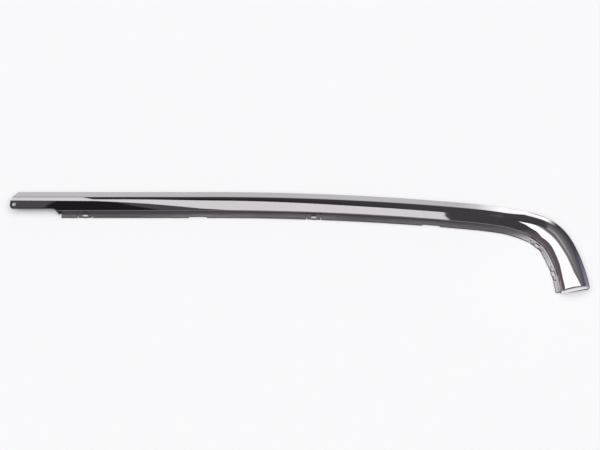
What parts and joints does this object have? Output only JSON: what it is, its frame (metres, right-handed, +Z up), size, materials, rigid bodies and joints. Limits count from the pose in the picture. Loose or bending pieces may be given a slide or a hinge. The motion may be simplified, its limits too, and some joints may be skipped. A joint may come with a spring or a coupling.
{
  "type": "bumper chrome trim",
  "caption": "Chrome-plated trim moulding for one half of a bumper: a long bowed channel with a screw tab, a snap flange and a hooked outer end.",
  "frame": {"origin": "middle of the trim's plan, on the plane of its two feet", "axes": "+X along the run towards the hooked outer end, +Y to the outer, convex side, +Z up out of the bright face"},
  "size_m": [0.8304, 0.159, 0.0159],
  "materials": {
    "chrome_plate": "polished"
  },
  "bodies": {
    "root": {"trim_moulding": "chrome_plate"}
  },
  "joints": []
}
